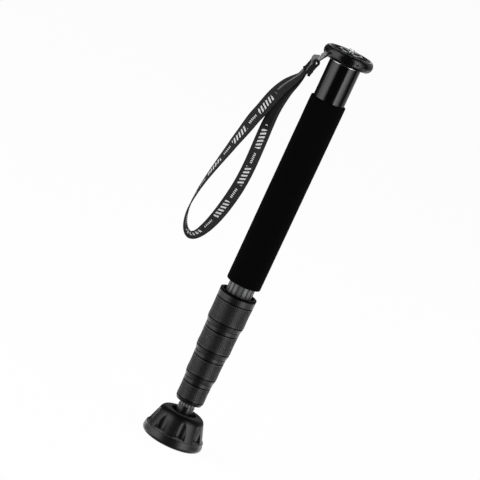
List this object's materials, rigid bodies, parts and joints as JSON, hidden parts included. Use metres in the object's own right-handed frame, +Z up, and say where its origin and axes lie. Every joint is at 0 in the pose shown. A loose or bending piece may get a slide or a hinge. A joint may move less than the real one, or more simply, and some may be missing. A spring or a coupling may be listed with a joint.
{
  "type": "camera monopod",
  "caption": "Telescoping camera monopod with foam grip, stepped twist-lock collars, swivelling rubber foot, camera plate with screw and webbing wrist strap.",
  "frame": {"origin": "centre of the foot's sole, on the floor", "axes": "+Z up along the leg, -X towards the wrist strap, -Y the front"},
  "size_m": [0.1045, 0.059, 0.4005],
  "materials": {
    "foot_rubber": "moulded, low sheen",
    "nylon": "moulded",
    "sleeve_nylon": "moulded",
    "steel": "turned",
    "gloss_black": "glossy black anodised",
    "pale_tube": "satin, fluted",
    "fluted_tube": "satin grey anodised, fluted",
    "foam": "fine closed-cell foam",
    "bare_aluminium": "turned",
    "plate_black": "black, finely knurled side",
    "pad_black": "smooth",
    "bright_metal": "plated",
    "collar_black": "satin",
    "grip_rubber": "cross-hatched",
    "webbing": "woven",
    "tether": "woven"
  },
  "bodies": {
    "foot": {"rubber_foot": "foot_rubber", "foot_socket": "nylon", "socket_cap": "steel"},
    "swivel": {"foot_liner": "nylon", "tilt_pin": "steel"},
    "section_6": {"ball_stud": "steel", "foot_ferrule": "gloss_black", "tube_6": "pale_tube", "lock_core_6": "nylon"},
    "lock_6": {"lock_sleeve_6": "sleeve_nylon"},
    "section_5": {"tube_5": "fluted_tube", "collar_shell_5": "collar_black", "collar_grip_5": "grip_rubber", "guide_bush_5": "nylon", "lock_core_5": "nylon"},
    "lock_5": {"lock_sleeve_5": "sleeve_nylon"},
    "section_4": {"tube_4": "fluted_tube", "collar_shell_4": "collar_black", "collar_grip_4": "grip_rubber", "guide_bush_4": "nylon", "lock_core_4": "nylon"},
    "lock_4": {"lock_sleeve_4": "sleeve_nylon"},
    "section_3": {"tube_3": "fluted_tube", "collar_shell_3": "collar_black", "collar_grip_3": "grip_rubber", "guide_bush_3": "nylon", "lock_core_3": "nylon"},
    "lock_3": {"lock_sleeve_3": "sleeve_nylon"},
    "section_2": {"tube_2": "fluted_tube", "collar_shell_2": "collar_black", "collar_grip_2": "grip_rubber", "guide_bush_2": "nylon", "lock_core_2": "nylon"},
    "lock_2": {"lock_sleeve_2": "sleeve_nylon"},
    "upper": {"tube_1": "gloss_black", "mouth_bush": "nylon", "foam_grip": "foam", "plate_spigot": "bare_aluminium", "camera_plate": "plate_black", "plate_pad": "pad_black", "screw_flange": "bright_metal", "camera_screw": "bright_metal", "set_screw": "steel", "strap_tether": "tether", "strap_knot": "webbing", "strap_wrap": "webbing", "strap_loop": "webbing"}
  },
  "joints": [
    {"name": "foot_swivel", "type": "hinge", "parent": "foot", "child": "swivel", "pos_m": [0, 0, 0.0125], "axis": [0, 0, 1], "continuous": true},
    {"name": "foot_tilt", "type": "hinge", "parent": "swivel", "child": "section_6", "pos_m": [0, 0, 0.0125], "axis": [0, 1, 0], "range_deg": [-12, 12]},
    {"name": "twist_6", "type": "hinge", "parent": "section_6", "child": "lock_6", "pos_m": [0, 0, 0.2], "axis": [0, 0, 1], "range_deg": [0, 90]},
    {"name": "slide_6", "type": "slide", "parent": "lock_6", "child": "section_5", "axis": [0, 0, 1], "range_m": [0, 0.1915]},
    {"name": "twist_5", "type": "hinge", "parent": "section_5", "child": "lock_5", "pos_m": [0, 0, 0.2], "axis": [0, 0, 1], "range_deg": [0, 90]},
    {"name": "slide_5", "type": "slide", "parent": "lock_5", "child": "section_4", "axis": [0, 0, 1], "range_m": [0, 0.1975]},
    {"name": "twist_4", "type": "hinge", "parent": "section_4", "child": "lock_4", "pos_m": [0, 0, 0.2], "axis": [0, 0, 1], "range_deg": [0, 90]},
    {"name": "slide_4", "type": "slide", "parent": "lock_4", "child": "section_3", "axis": [0, 0, 1], "range_m": [0, 0.1975]},
    {"name": "twist_3", "type": "hinge", "parent": "section_3", "child": "lock_3", "pos_m": [0, 0, 0.2], "axis": [0, 0, 1], "range_deg": [0, 90]},
    {"name": "slide_3", "type": "slide", "parent": "lock_3", "child": "section_2", "axis": [0, 0, 1], "range_m": [0, 0.195]},
    {"name": "twist_2", "type": "hinge", "parent": "section_2", "child": "lock_2", "pos_m": [0, 0, 0.2], "axis": [0, 0, 1], "range_deg": [0, 90]},
    {"name": "slide_2", "type": "slide", "parent": "lock_2", "child": "upper", "axis": [0, 0, 1], "range_m": [-0.0092, 0.1705]}
  ]
}
